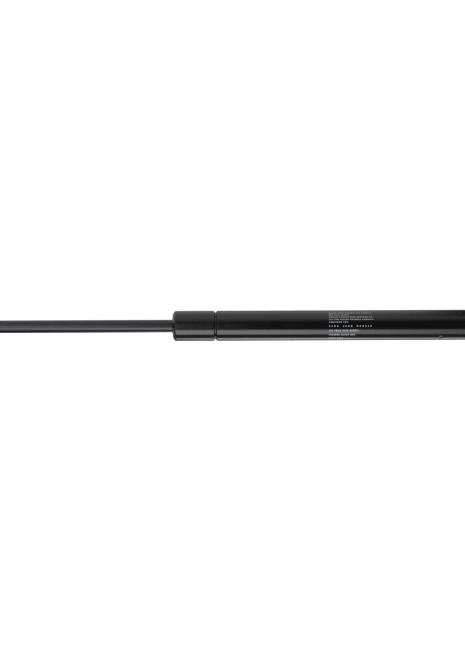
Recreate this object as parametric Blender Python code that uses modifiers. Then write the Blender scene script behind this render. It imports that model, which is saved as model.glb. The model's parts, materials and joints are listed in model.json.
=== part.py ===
"""Gas strut stay: a pressure tube with a piston rod, and a ball joint at each end.

The strut's axis is X. The origin is the centre of the ball at the barrel end, the rod points to -X,
and both ball studs point down along -Z. The strut is at its full length, as its gas holds it.
"""

from math import cos, pi, radians, sin

import bpy

MM = 0.001

# Driving sizes of the strut.
BARREL_RADIUS = 9.5 * MM
BARREL_LENGTH = 256 * MM
BARREL_WALL = 1.25 * MM
ROD_RADIUS = 4 * MM
STROKE = 200 * MM
ROD_SHOWING = 207 * MM  # between the barrel and the rod-end fitting, fully extended
BALL_RADIUS = 5 * MM
SOCKET_LENGTH = 28.5 * MM  # from the ball's centre to the end of the socket's neck
NECK_GAP = 0.5 * MM  # between the socket's neck and the barrel's base

BARREL_BORE = BARREL_RADIUS - BARREL_WALL
ROD_END_X = -(SOCKET_LENGTH + NECK_GAP + BARREL_LENGTH)  # the barrel's face on the rod side
ROD_BALL_X = ROD_END_X - ROD_SHOWING - SOCKET_LENGTH

# How fine the round shapes are, and the clearances between pieces.
TUBE_STEPS = 32
ROUND_STEPS = 24
SMALL_STEPS = 20
RUNNING = 0.1 * MM  # around the rod
GAP = 0.3 * MM

# Rolled ends of the barrel: each corner is a quarter of an ellipse.
ROD_ROLL = (2.4 * MM, 4.5 * MM)  # along the axis, across it
BASE_ROLL = (2.2 * MM, 4 * MM)

# Crimped grooves: they hold the guide package and the base plug.
GROOVE_DEPTH = 1.05 * MM
GROOVE_HALF_WIDTH = 1.4 * MM
ROD_GROOVE = 27 * MM
BASE_GROOVE = BARREL_LENGTH - 8.6 * MM

# The small round punch mark on the tube.
PUNCH_RADIUS = 2.5 * MM
PUNCH_DEPTH = 0.25 * MM
PUNCH_PLACE = 167.8 * MM
PUNCH_ANGLE = radians(-54)  # from the front, -Y, up over the top

# The guide package, as distances from the barrel's rod-end face.
WIPER = (1.6 * MM, 4.4 * MM)
GUIDE = (4.7 * MM, 13.7 * MM)
SEAL = (14.0 * MM, 19.0 * MM)
SEAL_WASHER = (19.3 * MM, 20.5 * MM)
SPACER = (20.8 * MM, 25.5 * MM)
PACKAGE_RADIUS = BARREL_BORE - 0.2 * MM
LOOSE_BORE = ROD_RADIUS + 0.5 * MM  # where a piece only has to clear the rod
WIPER_RADIUS = 7.9 * MM
WIPER_NOSE_RADIUS = 6.6 * MM
WIPER_POCKET_RADIUS = 4.7 * MM
BUSH_RADIUS = 5.05 * MM
SEAL_LIPS = (7.2 * MM, 4.9 * MM)  # radii of the space between the seal's lips at their tips
SEAL_FLOOR = (6.4 * MM, 5.6 * MM)  # the same at its floor
SPACER_INNER_RADIUS = 6.6 * MM

# The piston and what holds it, fully extended.
TAIL_RADIUS = 2.9 * MM
TAIL_BORE = TAIL_RADIUS + 0.2 * MM
ROD_SHOULDER = 29.7 * MM
PISTON_WASHER = (30 * MM, 31.4 * MM)
PISTON = (31.7 * MM, 40.2 * MM)
RING_SLOT = (34.4 * MM, 37.4 * MM)
ORIFICE_DISC = (40.5 * MM, 41.5 * MM)
RIVET = (41.8 * MM, 43.5 * MM)
PISTON_RADIUS = BARREL_BORE - 0.3 * MM
PISTON_WASHER_RADIUS = 7.4 * MM
RING_SLOT_RADIUS = 6.3 * MM
RING_INNER_RADIUS = 6.6 * MM
DISC_RADIUS = 7.2 * MM
ORIFICE_RADIUS = 0.5 * MM
ORIFICE_PLACE = 5.2 * MM  # from the axis
RIVET_RADIUS = 4.2 * MM
RIVET_TOP_RADIUS = 2.8 * MM
RIVET_EDGE = 0.7 * MM

# The base plug with its threaded pin.
PLUG = (244.3 * MM, 254.4 * MM)
PLUG_WAIST_RADIUS = 6.8 * MM
PLUG_END_RADIUS = 6.9 * MM  # inside the tube's roll
PLUG_COLLAR_RADIUS = 5.2 * MM  # through the tube's mouth
O_RING_SLOT = (250.6 * MM, 252.6 * MM)
O_RING_SLOT_RADIUS = 6.3 * MM
O_RING_RADIUS = 7.25 * MM  # to the middle of its section
O_RING_SECTION = 0.7 * MM
PIN_RADIUS = 4 * MM
PIN_END_GAP = 1 * MM
SOCKET_BORE_END = 11 * MM  # from the ball's centre

# The ball joints, seen from the ball's centre.
HEAD_RADIUS = 8.5 * MM
HEAD_TOP = 7.6 * MM
HEAD_BOTTOM = -5 * MM
UNDERCUT_END = 13 * MM  # the underside is flat this far along the neck, so the stud can tilt
CAVITY_RADIUS = 6.4 * MM
MOUTH_RADIUS = 5.5 * MM
MOUTH_FLARE_RADIUS = 7.1 * MM  # just below the head
NECK_RADIUS = 6.25 * MM
NECK_CHAMFER = 0.6 * MM
FLATS_APART = 11 * MM
FLATS = (SOCKET_LENGTH - 12 * MM, SOCKET_LENGTH - 3 * MM)
THREAD_CLEARANCE = 0.15 * MM
SHELL_OUTER = 6.1 * MM
SHELL_INNER = 5.2 * MM
SHELL_RIM = -1.5 * MM
CLIP_WIRE = 0.6 * MM
CLIP_Y = 4.9 * MM
CLIP_Z = -3.4 * MM
CLIP_BEND_X = -6.5 * MM
CLIP_TIP_X = 6.6 * MM
SLOT_SIZE = 1.9 * MM
SLOT_END_X = CLIP_TIP_X + 0.6 * MM

# The ball studs.
STUD_NECK_RADIUS = 2.9 * MM
HEX_TOP = -8.3 * MM
HEX_BOTTOM = -12.3 * MM
HEX_ACROSS_FLATS = 13 * MM
SEAT_RADIUS = 6.2 * MM
SEAT_Z = -12.6 * MM
SHANK_RADIUS = 4 * MM
SHANK_END = -26 * MM


def new_collection(name):
    collection = bpy.data.collections.new(name)
    bpy.context.scene.collection.children.link(collection)
    return collection


def material(name, colour, roughness, metallic=0.0):
    made = bpy.data.materials.new(name)
    made.use_nodes = True
    shader = made.node_tree.nodes["Principled BSDF"]
    shader.inputs["Base Color"].default_value = (*colour, 1)
    shader.inputs["Roughness"].default_value = roughness
    shader.inputs["Metallic"].default_value = metallic
    return made


def axis_empty(name, x, turned_round=False):
    """An empty on the strut's axis. Turned round, its +X points to the strut's -X."""
    empty = bpy.data.objects.new(name, None)
    empty.location.x = x
    empty.rotation_euler.z = pi if turned_round else 0
    parts.objects.link(empty)
    return empty


def finish(obj, paint, parent=None):
    """Gives a new object its material and parent. Without a material it is a helper for a Boolean."""
    if paint:
        obj.data.materials.append(paint)
        parts.objects.link(obj)
    else:
        obj.hide_render = True
        obj.display_type = "WIRE"
        cutters.objects.link(obj)
    obj.parent = parent
    return obj


def turned(name, outline, paint=None, parent=None, axis="X", steps=ROUND_STEPS):
    """A turned shape. The outline is a list of (place along the axis, radius): the outer side from its
    low end to its high end, and for a ring or a cup back along the inside. It needs no edge on the axis."""
    points = [(radius, 0, place) for place, radius in reversed(outline)]
    ends = [(i, (i + 1) % len(points)) for i in range(len(points))]
    edges = [(a, b) for a, b in ends if points[a][0] > 0 or points[b][0] > 0]
    mesh = bpy.data.meshes.new(name)
    mesh.from_pydata(points, edges, [])
    obj = bpy.data.objects.new(name, mesh)
    if axis == "X":
        obj.rotation_euler.y = pi / 2
    screw = obj.modifiers.new("Screw", "SCREW")
    screw.steps = screw.render_steps = steps
    screw.use_merge_vertices = True
    screw.merge_threshold = 0.00001
    return finish(obj, paint, parent)


def box(name, low, high, parent=None):
    """A box-shaped cutter between two corners."""
    bpy.ops.mesh.primitive_cube_add(size=1)
    obj = bpy.context.object
    obj.name = name
    obj.users_collection[0].objects.unlink(obj)
    obj.location = [(a + b) / 2 for a, b in zip(low, high)]
    obj.scale = [b - a for a, b in zip(low, high)]
    return finish(obj, None, parent)


def boolean(obj, other, operation="DIFFERENCE"):
    modifier = obj.modifiers.new(other.name, "BOOLEAN")
    modifier.operation = operation
    modifier.object = other


def ellipse(place, radius, along, across, start, stop, steps):
    """Points of an elliptical arc, as (place, radius), between two angles in degrees."""
    turns = [radians(start + (stop - start) * i / steps) for i in range(steps + 1)]
    return [(place + along * cos(t), radius + across * sin(t)) for t in turns]


def groove(centre, radius, steps):
    """Points across a crimped groove, a smooth dip of one cosine wave."""
    shares = [-1 + 2 * i / steps for i in range(steps + 1)]
    return [
        (centre + GROOVE_HALF_WIDTH * u, radius - GROOVE_DEPTH * (1 + cos(pi * u)) / 2)
        for u in shares
    ]


def rectangle(low, high, outer, inner):
    """The outline of a plain ring."""
    return [(low, outer), (high, outer), (high, inner), (low, inner)]


def make_barrel(paint, frame):
    base_place = BARREL_LENGTH - BASE_ROLL[0]
    rod_lip = BARREL_RADIUS - ROD_ROLL[1]
    base_lip = BARREL_RADIUS - BASE_ROLL[1]
    rod_inner = [size - BARREL_WALL for size in ROD_ROLL]
    base_inner = [size - BARREL_WALL for size in BASE_ROLL]
    outline = ellipse(ROD_ROLL[0], rod_lip, *ROD_ROLL, 180, 90, 4)
    outline += groove(ROD_GROOVE, BARREL_RADIUS, 6)
    outline += groove(BASE_GROOVE, BARREL_RADIUS, 6)
    outline += ellipse(base_place, base_lip, *BASE_ROLL, 90, 0, 3)
    outline += ellipse(base_place, base_lip, *base_inner, 0, 90, 3)
    outline += reversed(groove(BASE_GROOVE, BARREL_BORE, 4))
    outline += reversed(groove(ROD_GROOVE, BARREL_BORE, 4))
    outline += ellipse(ROD_ROLL[0], rod_lip, *rod_inner, 90, 180, 3)
    barrel = turned("barrel_tube", outline, paint, frame, steps=TUBE_STEPS)

    bpy.ops.mesh.primitive_uv_sphere_add(radius=PUNCH_RADIUS, segments=16, ring_count=12)
    punch = bpy.context.object
    punch.name = "punch"
    punch.users_collection[0].objects.unlink(punch)
    finish(punch, None, frame)
    reach = BARREL_RADIUS + PUNCH_RADIUS - PUNCH_DEPTH
    punch.location = (PUNCH_PLACE, -reach * cos(PUNCH_ANGLE), reach * sin(PUNCH_ANGLE))
    boolean(barrel, punch)


def make_guide_package(paints, frame):
    rod_bore = ROD_RADIUS + RUNNING
    low, high = WIPER
    wiper = [
        (low, WIPER_NOSE_RADIUS),
        (low + 1 * MM, WIPER_RADIUS),
        (high, WIPER_RADIUS),
        (high, WIPER_POCKET_RADIUS),
        (low + 1.2 * MM, WIPER_POCKET_RADIUS),
        (low + 0.8 * MM, rod_bore),
        (low, rod_bore),
    ]
    turned("rod_wiper", wiper, paints["rubber"], frame)

    low, high = GUIDE
    shoulder = low + 1 * MM
    bush_seat = BUSH_RADIUS + 0.2 * MM
    guide = [
        (low, PACKAGE_RADIUS - 0.5 * MM),
        (low + 0.5 * MM, PACKAGE_RADIUS),
        (high, PACKAGE_RADIUS),
        (high, bush_seat),
        (shoulder, bush_seat),
        (shoulder, LOOSE_BORE),
        (low, LOOSE_BORE),
    ]
    turned("rod_guide", guide, paints["sintered"], frame)
    bush = rectangle(shoulder + GAP, high - 0.2 * MM, BUSH_RADIUS, rod_bore)
    turned("guide_bush", bush, paints["bronze"], frame)

    low, high = SEAL
    floor = low + 2 * MM
    seal = [
        (low, PACKAGE_RADIUS),
        (high, PACKAGE_RADIUS),
        (high, SEAL_LIPS[0]),
        (floor, SEAL_FLOOR[0]),
        (floor, SEAL_FLOOR[1]),
        (high, SEAL_LIPS[1]),
        (high, rod_bore),
        (high - 0.8 * MM, rod_bore),
        (low + 1 * MM, LOOSE_BORE),
        (low, LOOSE_BORE),
    ]
    turned("rod_seal", seal, paints["rubber"], frame)
    washer = rectangle(*SEAL_WASHER, PACKAGE_RADIUS, ROD_RADIUS + GAP)
    turned("seal_washer", washer, paints["steel"], frame)

    low, high = SPACER
    flange = low + 1.2 * MM
    spacer = [
        (low, PACKAGE_RADIUS),
        (high, PACKAGE_RADIUS),
        (high, SPACER_INNER_RADIUS),
        (flange, SPACER_INNER_RADIUS),
        (flange, LOOSE_BORE),
        (low, LOOSE_BORE),
    ]
    turned("spacer_sleeve", spacer, paints["nylon"], frame)


def make_base(paints, frame):
    low, high = PLUG
    waist = BASE_GROOVE - GROOVE_HALF_WIDTH
    waist_end = BASE_GROOVE + GROOVE_HALF_WIDTH
    slope = 0.5 * MM
    plug = [
        (low, 0),
        (low, PACKAGE_RADIUS - slope),
        (low + slope, PACKAGE_RADIUS),
        (waist - slope, PACKAGE_RADIUS),
        (waist + slope / 2, PLUG_WAIST_RADIUS),
        (waist_end - slope / 2, PLUG_WAIST_RADIUS),
        (waist_end + slope, PACKAGE_RADIUS),
        (O_RING_SLOT[0], PACKAGE_RADIUS),
        (O_RING_SLOT[0], O_RING_SLOT_RADIUS),
        (O_RING_SLOT[1], O_RING_SLOT_RADIUS),
        (O_RING_SLOT[1], PACKAGE_RADIUS),
        (high - 1.3 * MM, PACKAGE_RADIUS),
        (high, PLUG_END_RADIUS),
        (high, PLUG_COLLAR_RADIUS),
        (BARREL_LENGTH + GAP, PLUG_COLLAR_RADIUS),
        (BARREL_LENGTH + GAP, PIN_RADIUS),
    ]
    pin_end = -SOCKET_BORE_END - PIN_END_GAP - ROD_END_X
    plug += [(pin_end - 1 * MM, PIN_RADIUS), (pin_end, PIN_RADIUS - 1 * MM), (pin_end, 0)]
    turned("base_plug", plug, paints["steel"], frame)

    place = sum(O_RING_SLOT) / 2
    section = ellipse(place, O_RING_RADIUS, O_RING_SECTION, O_RING_SECTION, 180, -180, 8)[:-1]
    turned("base_o_ring", section, paints["rubber"], frame)


def make_rod(paints, frame):
    thread_end = -ROD_SHOWING - SOCKET_LENGTH + SOCKET_BORE_END + PIN_END_GAP
    rod = [
        (thread_end, 0),
        (thread_end, ROD_RADIUS - 1 * MM),
        (thread_end + 1 * MM, ROD_RADIUS),
        (ROD_SHOULDER - 0.3 * MM, ROD_RADIUS),
        (ROD_SHOULDER, ROD_RADIUS - 0.3 * MM),
        (ROD_SHOULDER, TAIL_RADIUS),
        (RIVET[0], TAIL_RADIUS),
        (RIVET[0], RIVET_RADIUS),
        (RIVET[0] + RIVET_EDGE, RIVET_RADIUS),
        (RIVET[1], RIVET_TOP_RADIUS),
        (RIVET[1], 0),
    ]
    turned("piston_rod", rod, paints["rod"], frame)
    washer = rectangle(*PISTON_WASHER, PISTON_WASHER_RADIUS, TAIL_BORE)
    turned("piston_washer", washer, paints["steel"], frame)

    low, high = PISTON
    edge = 0.6 * MM
    piston = [
        (low, PISTON_RADIUS - edge),
        (low + edge, PISTON_RADIUS),
        (RING_SLOT[0], PISTON_RADIUS),
        (RING_SLOT[0], RING_SLOT_RADIUS),
        (RING_SLOT[1], RING_SLOT_RADIUS),
        (RING_SLOT[1], PISTON_RADIUS),
        (high - edge, PISTON_RADIUS),
        (high, PISTON_RADIUS - edge),
        (high, TAIL_BORE),
        (low, TAIL_BORE),
    ]
    turned("piston", piston, paints["sintered"], frame)
    ring = rectangle(
        RING_SLOT[0] + GAP, RING_SLOT[1] - GAP, BARREL_BORE - 0.2 * MM, RING_INNER_RADIUS
    )
    turned("piston_ring", ring, paints["nylon"], frame)

    low, high = ORIFICE_DISC
    plate = rectangle(low, high, DISC_RADIUS, TAIL_BORE)
    disc = turned("orifice_disc", plate, paints["steel"], frame)
    drill = [
        (low - GAP, 0),
        (low - GAP, ORIFICE_RADIUS),
        (high + GAP, ORIFICE_RADIUS),
        (high + GAP, 0),
    ]
    hole = turned("orifice", drill, parent=frame, steps=10)
    hole.location.y = ORIFICE_PLACE
    boolean(disc, hole)


def make_socket(name, paint, frame):
    """A ball socket whose neck points along the frame's +X, with the mouth for the ball below."""
    edge = 1.2 * MM
    below = HEAD_BOTTOM - 2 * MM
    head = [
        (below, 0),
        (below, HEAD_RADIUS),
        *ellipse(HEAD_TOP - edge, HEAD_RADIUS - edge, edge, edge, 90, 0, 3),
        (HEAD_TOP, 0),
    ]
    socket = turned(name, head, paint, frame, axis="Z")
    neck = [
        (0, 0),
        (0, NECK_RADIUS),
        (SOCKET_LENGTH - NECK_CHAMFER, NECK_RADIUS),
        (SOCKET_LENGTH, NECK_RADIUS - NECK_CHAMFER),
        (SOCKET_LENGTH, 0),
    ]
    boolean(socket, turned(name + "_neck", neck, parent=frame, steps=SMALL_STEPS), "UNION")
    under = box(
        name + "_under",
        (-HEAD_RADIUS - 1 * MM, -HEAD_RADIUS - 1 * MM, below - 1 * MM),
        (UNDERCUT_END, HEAD_RADIUS + 1 * MM, HEAD_BOTTOM),
        frame,
    )
    boolean(socket, under)

    mouth_z = -((CAVITY_RADIUS**2 - MOUTH_RADIUS**2) ** 0.5)
    sphere = ellipse(0, 0, CAVITY_RADIUS, CAVITY_RADIUS, 120, 0, 8)
    sphere = [(place, radius) for place, radius in sphere if place > mouth_z]
    sphere[-1] = (CAVITY_RADIUS, 0)
    cavity = [
        (HEAD_BOTTOM - 1 * MM, 0),
        (HEAD_BOTTOM - 1 * MM, MOUTH_FLARE_RADIUS),
        (mouth_z, MOUTH_RADIUS),
        *sphere,
    ]
    boolean(socket, turned(name + "_cavity", cavity, parent=frame, axis="Z", steps=SMALL_STEPS))

    bore_radius = ROD_RADIUS + THREAD_CLEARANCE
    bore = [
        (SOCKET_BORE_END, 0),
        (SOCKET_BORE_END, bore_radius),
        (SOCKET_LENGTH + 1 * MM, bore_radius),
        (SOCKET_LENGTH + 1 * MM, 0),
    ]
    boolean(socket, turned(name + "_bore", bore, parent=frame, steps=SMALL_STEPS))

    for side in (-1, 1):
        middle = side * CLIP_Y
        slot = box(
            f"{name}_slot_{side}",
            (-HEAD_RADIUS - 1 * MM, middle - SLOT_SIZE / 2, CLIP_Z - SLOT_SIZE / 2),
            (SLOT_END_X, middle + SLOT_SIZE / 2, CLIP_Z + SLOT_SIZE / 2),
            frame,
        )
        boolean(socket, slot)
        inner, outer = sorted((side * FLATS_APART / 2, side * NECK_RADIUS * 1.2))
        flat = box(
            f"{name}_flat_{side}",
            (FLATS[0], inner, -NECK_RADIUS),
            (FLATS[1], outer, NECK_RADIUS),
            frame,
        )
        boolean(socket, flat)


def make_clip(name, paint, frame):
    """A U of spring wire whose legs pass under the ball, with its bend outside the socket."""
    bend = [radians(90 + 180 * i / 10) for i in range(11)]
    points = [(CLIP_TIP_X, CLIP_Y), (0, CLIP_Y)]
    points += [(CLIP_BEND_X + CLIP_Y * cos(t), CLIP_Y * sin(t)) for t in bend]
    points += [(0, -CLIP_Y), (CLIP_TIP_X, -CLIP_Y)]
    curve = bpy.data.curves.new(name, "CURVE")
    curve.dimensions = "3D"
    curve.bevel_depth = CLIP_WIRE
    curve.bevel_resolution = 2
    curve.use_fill_caps = True
    spline = curve.splines.new("POLY")
    spline.points.add(len(points) - 1)
    for point, (x, y) in zip(spline.points, points):
        point.co = (x, y, CLIP_Z, 1)
    finish(bpy.data.objects.new(name, curve), paint, frame)


def make_shell(name, paint, frame):
    """The plastic shell around the ball, closed over the top."""
    outer = ellipse(0, 0, SHELL_OUTER, SHELL_OUTER, 90, 0, 6)
    inner = ellipse(0, 0, SHELL_INNER, SHELL_INNER, 0, 90, 6)
    outer[-1] = (SHELL_OUTER, 0)
    inner[0] = (SHELL_INNER, 0)
    rim_outer = (SHELL_OUTER**2 - SHELL_RIM**2) ** 0.5
    rim_inner = (SHELL_INNER**2 - SHELL_RIM**2) ** 0.5
    outline = [(SHELL_RIM, rim_outer), *outer, *inner, (SHELL_RIM, rim_inner)]
    turned(name, outline, paint, frame, axis="Z", steps=SMALL_STEPS)


def make_stud(name, paint, frame):
    """A ball stud with a hexagon, a round seat under it and a plain shank where the thread goes."""
    neck_z = -((BALL_RADIUS**2 - STUD_NECK_RADIUS**2) ** 0.5)
    ball = ellipse(0, 0, BALL_RADIUS, BALL_RADIUS, 150, 30, 8)
    ball = [(place, radius) for place, radius in ball if place > neck_z + 0.3 * MM]
    top = ball[-1][0]
    outline = [
        (SHANK_END, 0),
        (SHANK_END, SHANK_RADIUS - 1 * MM),
        (SHANK_END + 1 * MM, SHANK_RADIUS),
        (SEAT_Z, SHANK_RADIUS),
        (SEAT_Z, SEAT_RADIUS),
        (HEX_BOTTOM + 1 * MM, SEAT_RADIUS),
        (HEX_TOP - 1 * MM, STUD_NECK_RADIUS + 0.8 * MM),
        (HEX_TOP + 0.8 * MM, STUD_NECK_RADIUS),
        (neck_z, STUD_NECK_RADIUS),
        *ball,
        (top, 0),
    ]
    stud = turned(name, outline, paint, frame, axis="Z", steps=SMALL_STEPS)
    bpy.ops.mesh.primitive_cylinder_add(
        vertices=6,
        radius=HEX_ACROSS_FLATS / 2 / cos(pi / 6),
        depth=HEX_TOP - HEX_BOTTOM,
        location=(0, 0, (HEX_TOP + HEX_BOTTOM) / 2),
    )
    hexagon = bpy.context.object
    hexagon.name = name + "_hexagon"
    hexagon.users_collection[0].objects.unlink(hexagon)
    finish(hexagon, None, frame)
    boolean(stud, hexagon, "UNION")


def make_ball_joint(end, paints, frame):
    make_socket(end + "_end_socket", paints["moulding"], frame)
    make_clip(end + "_end_clip", paints["spring"], frame)
    make_shell(end + "_ball_shell", paints["shell"], frame)
    make_stud(end + "_ball_stud", paints["plated"], frame)


def main():
    paints = {
        "barrel": material("barrel_paint", (0.012, 0.012, 0.013), 0.35),
        "rod": material("nitrided_rod", (0.03, 0.03, 0.034), 0.25, 0.8),
        "moulding": material("black_moulding", (0.02, 0.02, 0.02), 0.5),
        "spring": material("spring_steel", (0.5, 0.5, 0.5), 0.3, 1.0),
        "shell": material("white_shell", (0.75, 0.74, 0.7), 0.4),
        "plated": material("zinc_plating", (0.6, 0.6, 0.6), 0.3, 1.0),
        "steel": material("bright_steel", (0.5, 0.5, 0.5), 0.3, 1.0),
        "sintered": material("sintered_steel", (0.3, 0.3, 0.3), 0.5, 1.0),
        "bronze": material("bronze", (0.45, 0.28, 0.12), 0.4, 1.0),
        "rubber": material("seal_rubber", (0.02, 0.02, 0.02), 0.7),
        "nylon": material("natural_nylon", (0.7, 0.68, 0.6), 0.5),
    }
    barrel_frame = axis_empty("barrel_frame", ROD_END_X)
    make_barrel(paints["barrel"], barrel_frame)
    make_guide_package(paints, barrel_frame)
    make_base(paints, barrel_frame)
    rod_frame = axis_empty("rod_frame", ROD_END_X)
    make_rod(paints, rod_frame)
    make_ball_joint("barrel", paints, axis_empty("barrel_ball", 0, turned_round=True))
    make_ball_joint("rod", paints, axis_empty("rod_ball", ROD_BALL_X))


for old in list(bpy.data.objects):
    bpy.data.objects.remove(old)
parts = new_collection("gas_strut_stay")
cutters = new_collection("cutters")
main()
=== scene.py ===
"""The looks of the gas strut stay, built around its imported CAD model.

The strut lies along X: the rod points to -X, and the centre of the barrel end's ball is the origin.
Shapes are worked out in millimetres, each in the local frame of its own part of the strut.
"""

import json
import random
from math import cos, hypot, pi, radians, sin, sqrt

import bpy
import numpy as np
from mathutils import Matrix, Vector


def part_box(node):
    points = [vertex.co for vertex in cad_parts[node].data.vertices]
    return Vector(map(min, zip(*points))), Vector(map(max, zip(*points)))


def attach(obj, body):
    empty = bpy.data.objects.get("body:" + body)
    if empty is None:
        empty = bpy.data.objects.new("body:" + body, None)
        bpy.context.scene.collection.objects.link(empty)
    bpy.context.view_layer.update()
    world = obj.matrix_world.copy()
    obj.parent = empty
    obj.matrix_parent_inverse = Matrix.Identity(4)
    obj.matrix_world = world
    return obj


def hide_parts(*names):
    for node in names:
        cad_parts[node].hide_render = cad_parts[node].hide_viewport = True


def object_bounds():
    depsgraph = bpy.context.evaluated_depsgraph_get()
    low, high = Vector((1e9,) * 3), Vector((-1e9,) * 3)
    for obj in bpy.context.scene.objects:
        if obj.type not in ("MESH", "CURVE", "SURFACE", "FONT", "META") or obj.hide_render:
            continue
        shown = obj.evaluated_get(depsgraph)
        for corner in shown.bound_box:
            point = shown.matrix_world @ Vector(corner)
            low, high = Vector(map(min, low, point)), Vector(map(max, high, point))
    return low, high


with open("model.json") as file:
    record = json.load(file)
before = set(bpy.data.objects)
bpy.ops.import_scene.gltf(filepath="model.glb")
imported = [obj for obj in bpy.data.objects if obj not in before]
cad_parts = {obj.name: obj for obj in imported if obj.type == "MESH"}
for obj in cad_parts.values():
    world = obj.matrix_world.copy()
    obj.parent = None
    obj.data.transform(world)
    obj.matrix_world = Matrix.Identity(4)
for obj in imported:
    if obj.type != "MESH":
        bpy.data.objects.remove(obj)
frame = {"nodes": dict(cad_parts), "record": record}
cad_low, cad_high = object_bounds()

MM = 0.001
ROD_RADIUS = 4.0
BALL_RADIUS = 5.0
SOCKET_LENGTH = 28.5
PRINT_HEIGHT = 0.02


# ---------------------------------------------------------------- places


def span(node):
    """The lowest and highest X of a CAD node, in millimetres."""
    low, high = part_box(node)
    return low.x / MM, high.x / MM


TUBE_START, TUBE_END = span("barrel_tube")
TUBE_LENGTH = TUBE_END - TUBE_START
TUBE_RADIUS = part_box("barrel_tube")[1].y / MM
ROD_START, ROD_END = span("piston_rod")
ROD_BALL = span("rod_ball_stud")[0] / 2 + span("rod_ball_stud")[1] / 2

FROM_TUBE = Matrix.Translation((TUBE_START, 0, 0))
AT_BARREL_BALL = Matrix.Rotation(pi, 4, "Z")
AT_ROD_BALL = Matrix.Translation((ROD_BALL, 0, 0))


# ---------------------------------------------------------------- meshes


def make_object(name, points, faces, place, sharp_angle=32):
    """A mesh object from points in millimetres in the frame that place leads from."""
    mesh = bpy.data.meshes.new(name)
    mesh.from_pydata([tuple(p) for p in points], [], [tuple(f) for f in faces])
    mesh.transform(Matrix.Scale(MM, 4) @ place)
    mesh.shade_smooth()
    mesh.set_sharp_from_angle(angle=radians(sharp_angle))
    made = bpy.data.objects.new(name, mesh)
    bpy.context.scene.collection.objects.link(made)
    return made


def rounded(corners, radius, steps=4):
    """The points of an outline with its corners rounded. Corners on the axis stay sharp."""
    points = []
    count = len(corners)
    closed = corners[0][1] > 0
    for i, (x, r) in enumerate(corners):
        if not closed and i in (0, count - 1):
            points.append((x, r))
            continue
        here = Vector((x, r))
        before, after = Vector(corners[i - 1]) - here, Vector(corners[(i + 1) % count]) - here
        reach = min(radius, before.length * 0.45, after.length * 0.45)
        start, end = here + before.normalized() * reach, here + after.normalized() * reach
        for k in range(steps + 1):
            t = k / steps
            points.append(tuple(start * (1 - t) ** 2 + here * (2 * t * (1 - t)) + end * t**2))
    return points


def ellipse(x, r, along, across, start, stop, steps):
    """Points of an elliptical arc, as (place, radius), between two angles in degrees."""
    turns = [radians(start + (stop - start) * i / steps) for i in range(steps + 1)]
    return [(x + along * cos(t), r + across * sin(t)) for t in turns]


SUPPORT = 0.06  # from a bend to the point that keeps its shading in place
LONG_RUN, RUN_STEP = 0.8, 12


def supported(outline):
    """The outline with extra points close to the ends of its long straight runs, so that the smooth
    shading of a bend stays in the bend."""
    points = []
    for (x, r), (next_x, next_r) in zip(outline, outline[1:] + outline[:1]):
        points.append((x, r))
        length = hypot(next_x - x, next_r - r)
        if length > LONG_RUN and r + next_r > 0:
            parts = max(1, round(length / RUN_STEP))
            edge = SUPPORT / length
            shares = [edge, *(i / parts for i in range(1, parts)), 1 - edge]
            points += [(x + (next_x - x) * t, r + (next_r - r) * t) for t in shares]
    return points


def lathe(name, outline, place, steps=96, angles=None, sink=None):
    """A turned shape about X. The outline runs along the outside from the low end to the high end,
    and for a ring or a cup back along the inside. sink(x, radius, angle) is how far a point lies
    below the outline."""
    turns = angles or [2 * pi * i / steps for i in range(steps)]
    points, rows = [], []
    outline = supported(outline)
    for x, r in outline:
        if r < 1e-6:
            rows.append([len(points)])
            points.append((x, 0, 0))
            continue
        rows.append(list(range(len(points), len(points) + len(turns))))
        for t in turns:
            depth = sink(x, r, t) if sink else 0
            points.append((x, -(r - depth) * cos(t), (r - depth) * sin(t)))
    faces = []
    for i, row in enumerate(rows):
        after = rows[(i + 1) % len(rows)]
        if len(row) == 1 and len(after) == 1:
            continue
        for k in range(len(turns)):
            n = (k + 1) % len(turns)
            near, far = row[k % len(row)], row[n % len(row)]
            ring = [near, far, after[n % len(after)], after[k % len(after)]]
            faces.append(list(dict.fromkeys(ring)))
    return make_object(name, points, faces, place)


def union(a, b, blend):
    """Two distance fields joined, with a fillet."""
    near = np.maximum(blend - np.abs(a - b), 0) / blend
    return np.minimum(a, b) - near * near * blend / 4


def common(a, b, blend):
    """What is inside both fields, with a rounded edge."""
    return -union(-a, -b, blend)


def cut(a, b, blend):
    """The first field without the second, with a rounded edge."""
    return -union(-a, b, blend)


def slope_of(field, points, reach=0.01):
    """The gradient of a field at the points."""
    sides = []
    for axis in range(3):
        step = np.zeros(3)
        step[axis] = reach
        sides.append((field(*(points + step).T) - field(*(points - step).T)) / (2 * reach))
    return np.stack(sides, axis=1)


def onto_surface(field, points, cell, rounds=4):
    """The points moved down the gradient to where the field is zero."""
    for _ in range(rounds):
        slope = slope_of(field, points)
        steep = np.maximum((slope**2).sum(axis=1), 0.04)
        step = slope * (field(*points.T) / steep)[:, None]
        size = np.sqrt((step**2).sum(axis=1))[:, None]
        points = points - step * np.minimum(1, cell / np.maximum(size, 1e-9))
    return points


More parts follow.
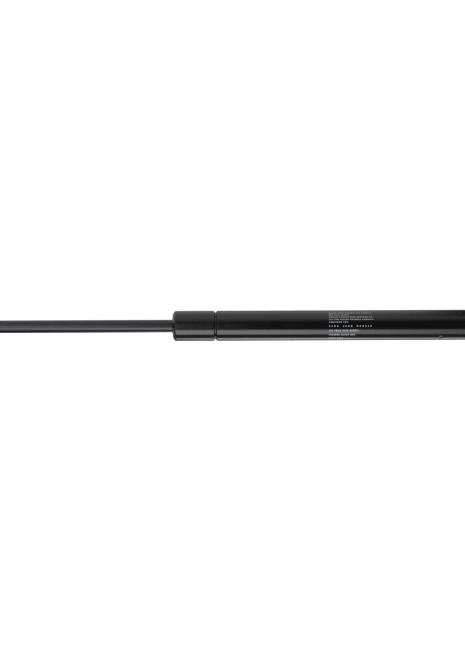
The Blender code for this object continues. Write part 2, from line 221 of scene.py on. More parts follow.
def skin_of(field, low, high, cell):
    """Points and quads of the closed surface where the field is zero. It is negative inside."""
    low = np.array(low, float)
    counts = np.ceil((np.array(high) - low) / cell).astype(int) + 1
    axes = [low[i] + cell * np.arange(counts[i]) for i in range(3)]
    inside = field(*np.meshgrid(*axes, indexing="ij")) < 0
    corners = sum(
        inside[i : counts[0] - 1 + i, j : counts[1] - 1 + j, k : counts[2] - 1 + k].astype(int)
        for i in (0, 1)
        for j in (0, 1)
        for k in (0, 1)
    )
    mixed = (corners > 0) & (corners < 8)
    index = np.full(mixed.shape, -1)
    index[mixed] = np.arange(mixed.sum())
    points = low + cell * (np.argwhere(mixed) + 0.5)
    faces = []
    for axis in range(3):
        after, last = (axis + 1) % 3, (axis + 2) % 3
        ends = np.moveaxis(inside, axis, 0)
        ends = ends[:-1].astype(int) - ends[1:].astype(int)
        ends = np.moveaxis(ends, 0, axis)
        for sign in (1, -1):
            at = np.argwhere(ends == sign)
            ring = []
            for a, b in ((-1, -1), (0, -1), (0, 0), (-1, 0)):
                beside = at.copy()
                beside[:, after] += a
                beside[:, last] += b
                ring.append(index[tuple(beside.T)])
            faces.append(np.stack(ring[::sign], axis=1))
    faces = np.concatenate(faces)
    points = onto_surface(field, points, cell)
    for _ in range(3):
        total, number = np.zeros_like(points), np.zeros(len(points))
        for k in range(4):
            np.add.at(total, faces[:, k], points[faces[:, k - 1]] + points[faces[:, (k + 1) % 4]])
            np.add.at(number, faces[:, k], 2)
        points = onto_surface(field, (points + total / number[:, None]) / 2, cell, 2)
    return points, faces


# ---------------------------------------------------------------- materials


def surface(name, colour, roughness, metallic=0.0):
    """A Principled material, its node tree and its shader."""
    made = bpy.data.materials.new(name)
    made.use_nodes = True
    shader = made.node_tree.nodes["Principled BSDF"]
    shader.inputs["Base Color"].default_value = (*colour, 1)
    shader.inputs["Roughness"].default_value = roughness
    shader.inputs["Metallic"].default_value = metallic
    return made, made.node_tree, shader


def pattern(tree, scale, stretch=(1, 1, 1), detail=2.0):
    """A noise texture over the piece's own coordinates. scale is cells per metre."""
    coordinates = tree.nodes.new("ShaderNodeTexCoord")
    mapping = tree.nodes.new("ShaderNodeMapping")
    mapping.inputs["Scale"].default_value = stretch
    tree.links.new(coordinates.outputs["Object"], mapping.inputs["Vector"])
    texture = tree.nodes.new("ShaderNodeTexNoise")
    texture.inputs["Scale"].default_value = scale
    texture.inputs["Detail"].default_value = detail
    tree.links.new(mapping.outputs["Vector"], texture.inputs["Vector"])
    return texture.outputs[0]


def ranged(tree, value, low, high):
    """A texture value between 0.3 and 0.7 spread over a range."""
    node = tree.nodes.new("ShaderNodeMapRange")
    node.inputs["From Min"].default_value = 0.3
    node.inputs["From Max"].default_value = 0.7
    node.inputs["To Min"].default_value = low
    node.inputs["To Max"].default_value = high
    tree.links.new(value, node.inputs["Value"])
    return node.outputs["Result"]


def mixed_colour(tree, share, first, second):
    """A colour between two, by a share from 0 to 1."""
    node = tree.nodes.new("ShaderNodeMix")
    node.data_type = "RGBA"
    node.inputs["A"].default_value = (*first, 1)
    node.inputs["B"].default_value = (*second, 1)
    tree.links.new(share, node.inputs["Factor"])
    return node.outputs["Result"]


def bump(tree, shader, heights):
    """Bumps from (texture value, height in metres) pairs, one on top of the other."""
    normal = None
    for value, height in heights:
        node = tree.nodes.new("ShaderNodeBump")
        node.inputs["Distance"].default_value = height
        tree.links.new(value, node.inputs["Height"])
        if normal:
            tree.links.new(normal, node.inputs["Normal"])
        normal = node.outputs["Normal"]
    tree.links.new(normal, shader.inputs["Normal"])


def barrel_paint():
    """Satin black paint with a little orange peel."""
    made, tree, shader = surface("barrel_paint", (0.0055, 0.0055, 0.0058), 0.12)
    peel = pattern(tree, 700, detail=1.0)
    grain = pattern(tree, 5000, detail=2.0)
    cloud = pattern(tree, 45, detail=3.0)
    tree.links.new(ranged(tree, cloud, 0.1, 0.14), shader.inputs["Roughness"])
    bump(tree, shader, [(peel, 0.000012), (grain, 0.000001)])
    return made


def nitrided_steel():
    """Ground and nitrided rod: black with fine rings and a faint blue temper."""
    made, tree, shader = surface("nitrided_steel", (0.006, 0.006, 0.007), 0.18)
    rings = pattern(tree, 900, stretch=(12, 0.4, 0.4), detail=4.0)
    cloud = pattern(tree, 16, stretch=(1, 2, 2), detail=2.0)
    share = ranged(tree, cloud, 0, 1)
    tint = mixed_colour(tree, share, (0.0055, 0.0055, 0.0095), (0.005, 0.006, 0.015))
    tree.links.new(tint, shader.inputs["Base Color"])
    tree.links.new(ranged(tree, rings, 0.14, 0.22), shader.inputs["Roughness"])
    bump(tree, shader, [(rings, 0.0000008)])
    return made


def black_moulding():
    """Glass-filled nylon with the fine grain of its mould."""
    made, tree, shader = surface("black_moulding", (0.012, 0.012, 0.0125), 0.42)
    grain = pattern(tree, 4500, detail=3.0)
    flow = pattern(tree, 260, stretch=(0.35, 1, 1), detail=2.0)
    tree.links.new(ranged(tree, flow, 0.36, 0.5), shader.inputs["Roughness"])
    bump(tree, shader, [(grain, 0.000006), (flow, 0.00001)])
    return made


def drawn_wire():
    """Spring steel wire with the long scratches of its die."""
    made, tree, shader = surface("drawn_wire", (0.52, 0.52, 0.53), 0.28, 1.0)
    lines = pattern(tree, 3000, stretch=(0.08, 1, 1), detail=2.0)
    tree.links.new(ranged(tree, lines, 0.2, 0.36), shader.inputs["Roughness"])
    bump(tree, shader, [(lines, 0.000002)])
    return made


def zinc_plating():
    """Bright zinc with the turned steel's fine lines under it and slightly cloudy colour."""
    made, tree, shader = surface("zinc_plating", (0.62, 0.63, 0.65), 0.24, 1.0)
    cloud = pattern(tree, 380, detail=3.0)
    rings = pattern(tree, 900, stretch=(0.5, 0.5, 9), detail=3.0)
    share = ranged(tree, cloud, 0, 1)
    tint = mixed_colour(tree, share, (0.6, 0.61, 0.64), (0.67, 0.665, 0.64))
    tree.links.new(tint, shader.inputs["Base Color"])
    tree.links.new(ranged(tree, cloud, 0.18, 0.33), shader.inputs["Roughness"])
    bump(tree, shader, [(rings, 0.000002)])
    return made


def turned_metal(name, colour, roughness):
    """Bare metal with the fine rings of the lathe."""
    made, tree, shader = surface(name, colour, roughness, 1.0)
    rings = pattern(tree, 1200, stretch=(8, 0.4, 0.4), detail=3.0)
    spread = ranged(tree, rings, roughness - 0.06, roughness + 0.06)
    tree.links.new(spread, shader.inputs["Roughness"])
    bump(tree, shader, [(rings, 0.000003)])
    return made


def sintered_steel():
    """Pressed and sintered steel, grey and full of pores."""
    made, tree, shader = surface("sintered_steel", (0.28, 0.28, 0.29), 0.5, 1.0)
    pores = pattern(tree, 3500, detail=4.0)
    tint = mixed_colour(tree, ranged(tree, pores, 0, 1), (0.2, 0.2, 0.205), (0.33, 0.33, 0.34))
    tree.links.new(tint, shader.inputs["Base Color"])
    bump(tree, shader, [(pores, 0.00001)])
    return made


def soft_material(name, colour, roughness, grain_height):
    """Rubber, nylon or acetal with a fine grain."""
    made, tree, shader = surface(name, colour, roughness)
    grain = pattern(tree, 3000, detail=3.0)
    spread = ranged(tree, grain, roughness - 0.05, roughness + 0.07)
    tree.links.new(spread, shader.inputs["Roughness"])
    bump(tree, shader, [(grain, grain_height)])
    return made


def print_ink():
    """Light grey pad print, thin in places."""
    made, tree, shader = surface("print_ink", (0.45, 0.45, 0.45), 0.55)
    wear = pattern(tree, 2600, detail=3.0)
    tint = mixed_colour(tree, ranged(tree, wear, 0, 1), (0.24, 0.25, 0.28), (0.48, 0.5, 0.55))
    tree.links.new(tint, shader.inputs["Base Color"])
    return made


# ---------------------------------------------------------------- barrel and rod

ROD_ROLL = (2.4, 4.5)  # a rolled end, along the axis and across it
BASE_ROLL = (2.2, 4.0)
WALL = 1.25
LIP_ROUND = 0.35
GROOVES = (27.0, TUBE_LENGTH - 8.6)
GROOVE_DEPTH = 1.0
GROOVE_HALF_WIDTH = 1.15
GROOVE_FLOOR = 0.24  # the flat share of its width
PUNCH_PLACE = 167.8
PUNCH_ANGLE = radians(-54)
PUNCH_RADIUS = 1.15
PUNCH_DEPTH = 0.28


def groove(centre, radius, steps):
    """Points across a crimped groove."""
    points = []
    for i in range(steps + 1):
        across = -1 + 2 * i / steps
        rise = max(0, abs(across) - GROOVE_FLOOR) / (1 - GROOVE_FLOOR)
        depth = GROOVE_DEPTH * ((1 + cos(pi * rise)) / 2) ** 1.3
        points.append((centre + GROOVE_HALF_WIDTH * across, radius - depth))
    return points


def punch_depth(x, r, turn):
    """How far the punch mark sinks the tube's surface."""
    around = (turn - PUNCH_ANGLE + pi) % (2 * pi) - pi
    away = hypot(x - PUNCH_PLACE, around * TUBE_RADIUS) / PUNCH_RADIUS
    on_outside = r > TUBE_RADIUS - 0.1
    return PUNCH_DEPTH * (1 - away**2) ** 0.75 if on_outside and away < 1 else 0


def make_tube():
    """The pressure tube: rolled ends, two crimped grooves and the punch mark."""
    rod_lip, base_lip = TUBE_RADIUS - ROD_ROLL[1], TUBE_RADIUS - BASE_ROLL[1]
    base_place = TUBE_LENGTH - BASE_ROLL[0]
    bore = TUBE_RADIUS - WALL
    rod_inner, base_inner = ([size - WALL for size in roll] for roll in (ROD_ROLL, BASE_ROLL))
    outline = ellipse(LIP_ROUND, rod_lip + LIP_ROUND, LIP_ROUND, LIP_ROUND, 270, 180, 5)
    outline += ellipse(ROD_ROLL[0], rod_lip, *ROD_ROLL, 175, 90, 18)
    outline += groove(GROOVES[0], TUBE_RADIUS, 28)
    outline += [(PUNCH_PLACE + 1.3 * i / 8, TUBE_RADIUS) for i in range(-8, 9)]
    outline += groove(GROOVES[1], TUBE_RADIUS, 28)
    outline += ellipse(base_place, base_lip, *BASE_ROLL, 90, 5, 16)
    round_place = TUBE_LENGTH - LIP_ROUND
    outline += ellipse(round_place, base_lip + LIP_ROUND, LIP_ROUND, LIP_ROUND, 0, -90, 5)
    outline += ellipse(base_place, base_lip, *base_inner, 0, 90, 6)
    outline += reversed(groove(GROOVES[1], bore, 12))
    outline += reversed(groove(GROOVES[0], bore, 12))
    outline += ellipse(ROD_ROLL[0], rod_lip, *rod_inner, 90, 180, 6)
    turns = {2 * pi * i / 160 for i in range(160)}
    reach = PUNCH_RADIUS * 1.3 / TUBE_RADIUS
    turns |= {(PUNCH_ANGLE + reach * i / 9) % (2 * pi) for i in range(-9, 10)}
    tube = lathe("painted_tube", outline, FROM_TUBE, angles=sorted(turns), sink=punch_depth)
    tube.data.set_sharp_from_angle(angle=radians(60))
    return tube


TAIL_RADIUS = 2.9
RIVET_RADIUS, RIVET_TOP_RADIUS = 4.2, 2.8


def make_rod():
    """The rod: a chamfered outer end, and a tail riveted over the orifice disc."""
    start, end = ROD_START - TUBE_START, ROD_END - TUBE_START
    shoulder = span("piston_washer")[0] - TUBE_START - 0.3
    head = span("orifice_disc")[1] - TUBE_START + 0.3
    corners = [
        (start, 0),
        (start, ROD_RADIUS - 1),
        (start + 1, ROD_RADIUS),
        (shoulder, ROD_RADIUS),
        (shoulder, TAIL_RADIUS),
        (head, TAIL_RADIUS),
        (head, RIVET_RADIUS),
        (head + 0.7, RIVET_RADIUS),
        (end, RIVET_TOP_RADIUS),
        (end, 0),
    ]
    return lathe("ground_rod", rounded(corners, 0.25), FROM_TUBE)


WIPER_RADIUS, WIPER_BORE = 7.9, 4.7
WIPER_LIP = ROD_RADIUS + 0.06


def make_wiper():
    """The wiper, with a lip that just clears the rod."""
    low, high = (place - TUBE_START for place in span("rod_wiper"))
    corners = [
        (low, WIPER_RADIUS - 1.3),
        (low + 1, WIPER_RADIUS),
        (high, WIPER_RADIUS),
        (high, WIPER_BORE),
        (low + 1.2, WIPER_BORE),
        (low + 0.8, WIPER_LIP),
        (low, WIPER_LIP),
        (low + 0.25, WIPER_BORE),
    ]
    return lathe("wiper_lip", rounded(corners, 0.12, 3), FROM_TUBE, steps=72)


PLUG_RADIUS, PLUG_WAIST, PLUG_SLOT = 8.05, 6.8, 6.3
COLLAR_RADIUS, PIN_RADIUS = 5.2, 4.0


def make_plug():
    """The base plug: a waist under the crimp, a slot for the O-ring, a collar and the pin."""
    low, high = (place - TUBE_START for place in span("base_plug"))
    seat = TUBE_LENGTH - 1.6
    waist, waist_end = GROOVES[1] - GROOVE_HALF_WIDTH, GROOVES[1] + GROOVE_HALF_WIDTH
    slot_low, slot_high = seat - 3.8, seat - 1.8
    collar = TUBE_LENGTH + 0.3
    corners = [
        (low, 0),
        (low, PLUG_RADIUS - 0.5),
        (low + 0.5, PLUG_RADIUS),
        (waist - 0.5, PLUG_RADIUS),
        (waist + 0.25, PLUG_WAIST),
        (waist_end - 0.25, PLUG_WAIST),
        (waist_end + 0.5, PLUG_RADIUS),
        (slot_low, PLUG_RADIUS),
        (slot_low, PLUG_SLOT),
        (slot_high, PLUG_SLOT),
        (slot_high, PLUG_RADIUS),
        (seat - 1.3, PLUG_RADIUS),
        (seat, PLUG_RADIUS - 1.15),
        (seat, COLLAR_RADIUS),
        (collar, COLLAR_RADIUS),
        (collar, PIN_RADIUS),
        (high - 1, PIN_RADIUS),
        (high, PIN_RADIUS - 1),
        (high, 0),
    ]
    return lathe("turned_plug", rounded(corners, 0.15, 3), FROM_TUBE)


# ---------------------------------------------------------------- print

PRINT_START = 97.9  # from the tube's rod end
PRINT_ROWS = (
    # angle from the front over the top in degrees, then row length, dash height, dash length, gap
    (54.0, 27.2, 0.7, 0.7, 0.35),
    (43.2, 13.2, 0.6, 0.7, 0.35),
    (33.0, 27.8, 0.6, 0.7, 0.35),
    (22.8, 27.8, 0.55, 0.7, 0.35),
    (12.6, 12.6, 0.6, 0.7, 0.35),
    (-2.7, 28.0, 0.8, 0.65, 1.1),
    (-20.0, 19.0, 1.25, 0.65, 0.4),
    (-37.5, 17.0, 1.1, 0.6, 0.45),
    (-57.0, 9.5, 1.4, 0.7, 0.35),
)


def make_print():
    """Rows of plain dashes, as long and as dense as lines of small print, with gaps like words."""
    draw = random.Random(7)
    low, high = TUBE_RADIUS + 0.004, TUBE_RADIUS + PRINT_HEIGHT
    points, faces = [], []
    for degrees, length, height, dash, gap in PRINT_ROWS:
        x, word = 0.0, draw.randint(3, 8)
        while x + dash < length:
            size = dash * draw.uniform(0.7, 1.2)
            half = height * draw.uniform(0.86, 1.0) / 2
            base = len(points)
            for radius in (low, high):
                for part in range(4):
                    turn = radians(degrees) + (half - 2 * half * part / 3) / TUBE_RADIUS
                    y, z = -radius * cos(turn), radius * sin(turn)
                    points += [(PRINT_START + place, y, z) for place in (x, x + size)]
            rim = [0, 1, 3, 5, 7, 6, 4, 2]
            for k in range(3):
                top = [8 + 2 * k, 9 + 2 * k, 11 + 2 * k, 10 + 2 * k]
                faces.append([base + i for i in reversed(top)])
                faces.append([base + i - 8 for i in top])
            for a, b in zip(rim, rim[1:] + rim[:1]):
                faces.append([base + a, base + a + 8, base + b + 8, base + b][::-1])
            x += size + gap
            word -= 1
            if word == 0:
                x += gap * 1.6
                word = draw.randint(3, 8)
    return make_object("print_dashes", points, faces, FROM_TUBE)


# ---------------------------------------------------------------- ball joints

HEAD_RADIUS = 8.5
HEAD_TOP = 7.6
HEAD_BOTTOM = -5.0
UNDERCUT_END = 13.0
CAVITY_RADIUS = 6.4
MOUTH_RADIUS = 5.5
MOUTH_Z = -sqrt(CAVITY_RADIUS**2 - MOUTH_RADIUS**2)
NECK_RADIUS = 6.25
BORE_START = 11.0
BORE_RADIUS = 4.15
FLATS_APART = 11.0
FLATS_HALF_LENGTH = 4.5
FLATS_FROM_END = 7.5
CROWN = 160  # a larger number makes the head's top flatter
MOUTH_TOP = -2.5
MOUTH_FLARE = 0.59
GATE_RADIUS, GATE_DEPTH = 1.3, 0.3
SLOT_HALF = 0.75
CLIP_WIRE = 0.6
CLIP_Y = 4.9
CLIP_Z = -3.4
CLIP_BEND_X = -6.5
CLIP_TIP_X = 6.6


def socket_field(x, y, z):
    """A moulded ball socket whose neck points to +X and whose mouth is below."""
    flat_radius, round_radius = np.hypot(x, y), np.hypot(y, z)
    half = SOCKET_LENGTH / 2
    head = common(flat_radius - HEAD_RADIUS, z - HEAD_TOP + flat_radius**2 / CROWN, 2.6)
    neck = common(round_radius - NECK_RADIUS, np.abs(x - half) - half, 1.3)
    body = union(head, neck, 3.2)
    body = cut(body, np.maximum(z - HEAD_BOTTOM, x - UNDERCUT_END), 0.7)
    along = np.abs(x - SOCKET_LENGTH + FLATS_FROM_END) - FLATS_HALF_LENGTH
    body = cut(body, common(FLATS_APART / 2 - np.abs(y), along, 0.3), 0.7)
    sphere = np.sqrt(x**2 + y**2 + z**2) - CAVITY_RADIUS
    mouth = (flat_radius - MOUTH_RADIUS + (z - MOUTH_Z) * MOUTH_FLARE) * 0.86
    body = cut(body, union(sphere, np.maximum(mouth, z - MOUTH_TOP), 0.2), 0.4)
    body = cut(body, np.maximum(round_radius - BORE_RADIUS, BORE_START - x), 0.4)
    slot = np.maximum(np.abs(np.abs(y) - CLIP_Y), np.abs(z - CLIP_Z)) - SLOT_HALF
    body = cut(body, np.maximum(slot, x - CLIP_TIP_X - 0.15), 0.3)
    gate = np.maximum(flat_radius - GATE_RADIUS, HEAD_TOP - GATE_DEPTH - z)
    return cut(body, gate, 0.3)


HEX_TOP, HEX_BOTTOM = -8.3, -12.3
HEX_HALF = 6.5
SEAT_Z = -12.6
SEAT_RADIUS = 6.2
SEAT_THICKNESS = 2.0
STUD_NECK = 2.9
HEX_CHAMFER = 6.4  # its radius at the hexagon's two faces
HEX_SLOPE = 1.7
SHANK_END = -26.0
PITCH = 1.25
THREAD_TOP, THREAD_ROOT = 3.98, 3.36


def stud_field(x, y, z):
    """A ball stud: ball, neck, hexagon, seat and a threaded M8 shank that points down."""
    radius = np.hypot(x, y)
    ball = np.sqrt(x**2 + y**2 + z**2) - BALL_RADIUS
    neck = np.maximum(radius - STUD_NECK, np.maximum(z, HEX_BOTTOM - z))
    ways = [radians(a) for a in (0, 60, 120)]
    sides = [np.abs(x * cos(way) + y * sin(way)) - HEX_HALF for way in ways]
    hexagon = common(common(sides[0], sides[1], 0.3), sides[2], 0.3)
    hexagon = common(hexagon, z - HEX_TOP, 0.4)
    hexagon = common(hexagon, (radius - HEX_CHAMFER + (z - HEX_TOP) * HEX_SLOPE) * 0.5, 0.2)
    hexagon = common(hexagon, (radius - HEX_CHAMFER - (z - HEX_BOTTOM) * HEX_SLOPE) * 0.5, 0.2)
    hexagon = common(hexagon, HEX_BOTTOM - z, 0.2)
    half = SEAT_THICKNESS / 2
    seat = common(radius - SEAT_RADIUS, np.abs(z - SEAT_Z - half) - half, 0.15)
    turn = (z / PITCH - np.arctan2(y, x) / (2 * pi)) % 1
    ridge = np.clip(1.3 * np.abs(2 * turn - 1) - 0.15, 0, 1)
    ridge = ridge * ridge * (3 - 2 * ridge)
    fade = np.clip((SEAT_Z - 1.2 - z) / 0.8, 0, 1)
    shank_radius = THREAD_ROOT + (THREAD_TOP - THREAD_ROOT) * ridge * fade
    shank_radius = np.minimum(shank_radius, 3.0 + (z - SHANK_END) * 0.9)
    ends = np.maximum(SHANK_END - z, z - SEAT_Z - half)
    shank = common((radius - shank_radius) * 0.8, ends, 0.2)
    return union(union(union(ball, neck, 0.8), hexagon, 1.2), union(seat, shank, 0.15), 0.1)


CLIP_CHAMFER = 0.2
CLIP_SIDES = 20


def make_clip(name, place):
    """A round spring wire: two legs that pass under the ball, and a bend outside the socket."""
    bend = [radians(90 + 180 * i / 32) for i in range(33)]
    path = [(CLIP_TIP_X, CLIP_Y), (CLIP_TIP_X / 2, CLIP_Y), (0, CLIP_Y)]
    path += [(CLIP_BEND_X + CLIP_Y * cos(t), CLIP_Y * sin(t)) for t in bend]
    path += [(0, -CLIP_Y), (CLIP_TIP_X / 2, -CLIP_Y), (CLIP_TIP_X, -CLIP_Y)]
    spots = [Vector(p) for p in path]
    rings = []
    for i, here in enumerate(spots):
        ahead = (spots[min(i + 1, len(spots) - 1)] - spots[max(i - 1, 0)]).normalized()
        rings.append((here, ahead, CLIP_WIRE))
    (start, out, _), (end, back, _) = rings[0], rings[-1]
    rings[0] = (start + out * CLIP_CHAMFER, out, CLIP_WIRE)
    rings[-1] = (end - back * CLIP_CHAMFER, back, CLIP_WIRE)
    tip = CLIP_WIRE - CLIP_CHAMFER
    rings = [(start, out, tip), *rings, (end, back, tip)]
    points = []
    for here, ahead, radius in rings:
        beside = Vector((ahead.y, -ahead.x))
        for k in range(CLIP_SIDES):
            turn = 2 * pi * k / CLIP_SIDES
            flat = here + beside * radius * cos(turn)
            points.append((flat.x, flat.y, CLIP_Z + radius * sin(turn)))
    faces = []
    for a in range(0, len(points) - CLIP_SIDES, CLIP_SIDES):
        b = a + CLIP_SIDES
        for k in range(CLIP_SIDES):
            n = (k + 1) % CLIP_SIDES
            faces.append((a + k, b + k, b + n, a + n))
    faces.append(range(CLIP_SIDES))
    faces.append(range(len(points) - 1, len(points) - 1 - CLIP_SIDES, -1))
    return make_object(name, points, faces, place)


SHELL_RADIUS, SHELL_BORE = 6.1, 5.2
SHELL_RIM = (-14.2, -16.7)  # below the ball's middle in degrees, outside and inside


def make_shell(name, place):
    """The plastic shell round the ball. It is turned about Z, so the lathe's X is laid along Z."""
    rim, bore_rim = SHELL_RIM
    up = [radians(rim + (90 - rim) * i / 28) for i in range(28)]
    down = [radians(90 + (bore_rim - 90) * i / 24) for i in range(1, 25)]
    outline = [(SHELL_RADIUS * sin(t), SHELL_RADIUS * cos(t)) for t in up]
    outline += [(SHELL_RADIUS, 0), (SHELL_BORE, 0)]
    outline += [(SHELL_BORE * sin(t), SHELL_BORE * cos(t)) for t in down]
    return lathe(name, outline, place @ Matrix.Rotation(-pi / 2, 4, "Y"), steps=64)


def make_joints(skins):
    """The socket, stud, clip and shell at each end."""
    for end, place in (("barrel", AT_BARREL_BALL), ("rod", AT_ROD_BALL)):
        stud, shell = f"{end}_ball_stud", f"{end}_ball_shell"
        socket_skin = make_object(f"{end}_socket_skin", *skins["socket"], place, 38)
        put(socket_skin, end, "black_moulding", f"{end}_end_socket")
        stud_skin = make_object(f"{end}_stud_skin", *skins["stud"], place, 38)
        put(stud_skin, stud, "zinc_plating", stud)
        put(make_clip(f"{end}_clip_wire", place), end, "spring_steel", f"{end}_end_clip")
        put(make_shell(f"{end}_shell_skin", place), shell, "white_shell", shell)


# ---------------------------------------------------------------- putting it together


def put(piece, body, slot_name, *nodes):
    """Gives a piece its material and its body, and hides the CAD nodes that it stands for."""
    piece.data.materials.append(paints[slot_name])
    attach(piece, body)
    if nodes:
        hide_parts(*nodes)


def dress_inner_nodes():
    """The sealed inner pieces keep their CAD shapes."""
    slots = {row["node"]: row["material_slot"] for row in frame["record"]["subparts"]}
    for name, node in frame["nodes"].items():
        if node.hide_render:
            continue
        node.data.materials.clear()
        node.data.materials.append(paints[slots[name]])


# ---------------------------------------------------------------- stage

# The studio's lights. Each one is a level over the angle round the strut's axis, in degrees from
# the front over the top, times a share over how far the direction leans to the right (-1 to 1).
LIGHTS = {
    "top": (
        ((24, 0), (36, 0.2), (50, 0.68), (60, 0.85), (66, 0.75), (74, 0)),
        (
            (-1, 0.5),
            (-0.6, 0.5),
            (-0.4, 1),
            (0.09, 1),
            (0.105, 0.9),
            (0.115, 0.65),
            (0.126, 0.42),
            (0.14, 0.4),
            (0.25, 0.6),
            (0.4, 1),
        ),
    ),
    "top_far": (
        ((60, 0), (70, 0.5), (76, 0.9), (108, 1), (124, 0.95), (140, 0.6), (152, 0)),
        (
            (-1, 0.6),
            (-0.4, 1),
            (0.09, 1),
            (0.105, 0.9),
            (0.113, 0.5),
            (0.121, 0),
            (0.2, 0),
            (0.4, 1),
        ),
    ),
    "low": (
        ((-74, 0), (-65, 1), (-38, 1), (-28, 0)),
        (
            (-1, 0.4),
            (-0.6, 0.6),
            (-0.4, 2),
            (-0.12, 2),
            (-0.07, 2.6),
            (-0.055, 3.3),
            (-0.038, 5),
            (-0.024, 3.9),
            (0.01, 3.8),
            (0.04, 3.6),
            (0.09, 2.2),
            (0.13, 1.3),
            (0.25, 1.2),
            (0.5, 2.5),
        ),
    ),
    "low_far": (
        ((-134, 0), (-128, 1), (-110, 1), (-104, 0)),
        (
            (-1, 0.4),
            (-0.4, 0.4),
            (-0.2, 0.05),
            (-0.12, 0.05),
            (-0.09, 0.2),
            (-0.05, 0.8),
            (-0.038, 1.3),
            (-0.02, 3),
            (0.04, 3.6),
            (0.07, 2.9),
            (0.1, 2.2),
            (0.3, 1.8),
        ),
    ),
    "front_left": (
        ((-52, 0), (-34, 1), (-4, 1.1), (10, 1), (25, 0.6), (43, 0.25), (60, 0)),
        (
            (-1, 0),
            (-0.4, 0),
            (-0.2, 1.6),
            (-0.12, 2.4),
            (-0.09, 2.3),
            (-0.07, 2),
            (-0.05, 1.1),
            (-0.042, 0.3),
            (-0.034, 0),
        ),
    ),
    "back": (
        ((-180, 0.15), (-150, 0.3), (-140, 0.4), (-132, 0), (142, 0), (152, 0.25), (180, 0.15)),
        ((-0.2, 1), (-0.15, 0.3), (-0.1, 0.3), (-0.03, 1)),
    ),
    "gap": (((-104, 0), (-100, 0.15), (-80, 0.15), (-74, 0)), ((-1, 1),)),
    "sides": (
        (
            (-180, 1),
            (-165, 0.2),
            (-60, 0.2),
            (-30, 0.35),
            (60, 0.4),
            (120, 0.5),
            (165, 1),
            (180, 1),
        ),
        (
            (-1, 0.5),
            (-0.9, 0.9),
            (-0.75, 1),
            (-0.45, 0.5),
            (-0.35, 0),
            (0.2, 0),
            (0.4, 0.8),
            (0.75, 1),
            (1, 0.4),
        ),
    ),
}
LOW_LIGHTS_SLANT = 0.45  # how far the lower lights sink towards the right
SLANT_REACH = 0.15  # no further slant past this lean
DARK_ENDS = ((-1, 0.1), (-0.95, 1), (0.95, 1), (1, 0.1))  # share of the light along the strut
BACKDROP = (1.05, 1.05, 1.05, 1)


def level_ramp(tree, value, stops, low, high):
    """A level over a value between low and high."""
    spread = tree.nodes.new("ShaderNodeMapRange")
    spread.inputs["From Min"].default_value = low
    spread.inputs["From Max"].default_value = high
    tree.links.new(value, spread.inputs["Value"])
    ramp = tree.nodes.new("ShaderNodeValToRGB")
    tree.links.new(spread.outputs["Result"], ramp.inputs[0])
    places = ramp.color_ramp.elements
    places.remove(places[1])
    for i, (at, level) in enumerate(stops):
        share = (at - low) / (high - low)
        stop = places.new(share) if i else places[0]
        stop.position = share
        stop.color = (level, level, level, 1)
    return ramp.outputs["Color"]


def math_node(tree, operation, first, second):
    """A Math node. Each input is a socket or a number."""
    node = tree.nodes.new("ShaderNodeMath")
    node.operation = operation
    for socket, value in zip(node.inputs, (first, second)):
        if isinstance(value, (int, float)):
            socket.default_value = value
        else:
            tree.links.new(value, socket)
    return node.outputs[0]


def make_world():
    """The lights as the world's light, behind a white backdrop that only the camera sees."""
    world = bpy.data.worlds.new("studio")
    bpy.context.scene.world = world
    world.use_nodes = True
    tree = world.node_tree
    tree.nodes.clear()
    coordinates = tree.nodes.new("ShaderNodeTexCoord")
    split = tree.nodes.new("ShaderNodeSeparateXYZ")
    tree.links.new(coordinates.outputs["Generated"], split.inputs[0])
    to_front = math_node(tree, "MULTIPLY", split.outputs["Y"], -1)
    turn = math_node(tree, "ARCTAN2", split.outputs["Z"], to_front)
    degrees = math_node(tree, "MULTIPLY", turn, 180 / pi)
    lean = math_node(tree, "MINIMUM", split.outputs["X"], SLANT_REACH)
    lean = math_node(tree, "MAXIMUM", lean, -SLANT_REACH)
    below = math_node(tree, "MINIMUM", degrees, 0)
    slant = math_node(tree, "MULTIPLY", lean, -LOW_LIGHTS_SLANT)
    degrees = math_node(tree, "ADD", degrees, math_node(tree, "MULTIPLY", below, slant))
    total = 0
    for around, along in LIGHTS.values():
        level = level_ramp(tree, degrees, around, -180, 180)
        share = level_ramp(tree, split.outputs["X"], along, -1, 1)
        total = math_node(tree, "ADD", total, math_node(tree, "MULTIPLY", level, share))
    ends = level_ramp(tree, split.outputs["X"], DARK_ENDS, -1, 1)
    total = math_node(tree, "MULTIPLY", total, ends)
    light = tree.nodes.new("ShaderNodeBackground")
    tree.links.new(total, light.inputs["Color"])
    backdrop = tree.nodes.new("ShaderNodeBackground")
    backdrop.inputs["Color"].default_value = BACKDROP
    path = tree.nodes.new("ShaderNodeLightPath")
    mix = tree.nodes.new("ShaderNodeMixShader")
    tree.links.new(path.outputs["Is Camera Ray"], mix.inputs[0])
    tree.links.new(light.outputs[0], mix.inputs[1])
    tree.links.new(backdrop.outputs[0], mix.inputs[2])
    output = tree.nodes.new("ShaderNodeOutputWorld")
    tree.links.new(mix.outputs[0], output.inputs[0])


FLOOR_REACH = 4000.0
FLOOR_GAP = 0.5
FLOOR_GLOW = 0.85


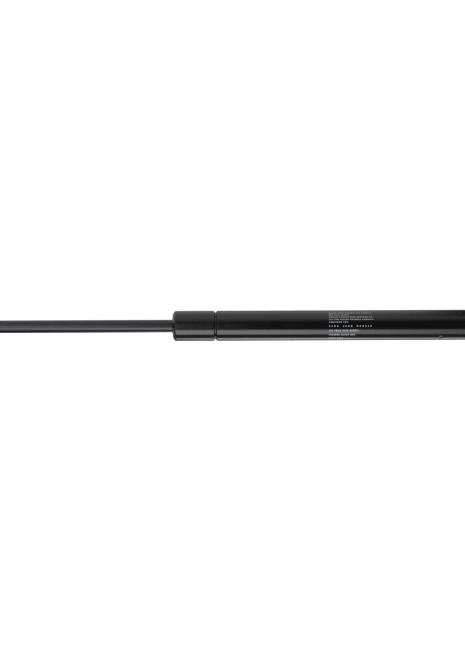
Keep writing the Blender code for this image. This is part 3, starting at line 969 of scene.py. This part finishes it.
def make_floor():
    """A white floor just under the studs. It glows a little, as a lit studio table does."""
    low = cad_low.z / MM - FLOOR_GAP
    corners = ((-1, -1), (1, -1), (1, 1), (-1, 1))
    points = [(x * FLOOR_REACH, y * FLOOR_REACH, low) for x, y in corners]
    floor = make_object("floor", points, [(0, 1, 2, 3)], Matrix())
    made, _, shader = surface("floor_white", (0.5, 0.5, 0.5), 0.9)
    shader.inputs["Emission Color"].default_value = (1, 1, 1, 1)
    shader.inputs["Emission Strength"].default_value = FLOOR_GLOW
    floor.data.materials.append(made)
    floor.visible_glossy = False


CAMERA_X = -247.3
CAMERA_Z = 2.08
CAMERA_AWAY = 1125.4
LENS = 100
ROLL = 0.246  # degrees


def make_camera():
    camera = bpy.data.objects.new("camera", bpy.data.cameras.new("camera"))
    bpy.context.scene.collection.objects.link(camera)
    camera.data.lens = LENS
    camera.location = Vector((CAMERA_X, -CAMERA_AWAY, CAMERA_Z)) * MM
    camera.rotation_euler = (pi / 2, radians(ROLL), 0)
    bpy.context.scene.camera = camera


paints = {
    "barrel_paint": barrel_paint(),
    "nitrided_rod": nitrided_steel(),
    "black_moulding": black_moulding(),
    "spring_steel": drawn_wire(),
    "white_shell": soft_material("white_acetal", (0.78, 0.77, 0.73), 0.38, 0.000002),
    "zinc_plating": zinc_plating(),
    "bright_steel": turned_metal("bright_steel", (0.56, 0.56, 0.57), 0.3),
    "sintered_steel": sintered_steel(),
    "bronze": turned_metal("bronze", (0.55, 0.36, 0.17), 0.34),
    "seal_rubber": soft_material("seal_rubber", (0.018, 0.018, 0.018), 0.62, 0.000006),
    "natural_nylon": soft_material("natural_nylon", (0.72, 0.7, 0.62), 0.45, 0.000004),
}

put(make_tube(), "barrel", "barrel_paint", "barrel_tube")
put(make_rod(), "rod", "nitrided_rod", "piston_rod")
put(make_wiper(), "barrel", "seal_rubber", "rod_wiper")
put(make_plug(), "barrel", "bright_steel", "base_plug")
dashes = make_print()
dashes.data.materials.append(print_ink())
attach(dashes, "barrel")
make_joints(
    {
        "socket": skin_of(socket_field, (-9.3, -9.3, -7.1), (29.4, 9.3, 8.6), 0.3),
        "stud": skin_of(stud_field, (-7.9, -7.9, -26.6), (7.9, 7.9, 5.6), 0.22),
    }
)
dress_inner_nodes()

make_world()
make_floor()
make_camera()
bpy.context.scene.view_settings.view_transform = "Standard"
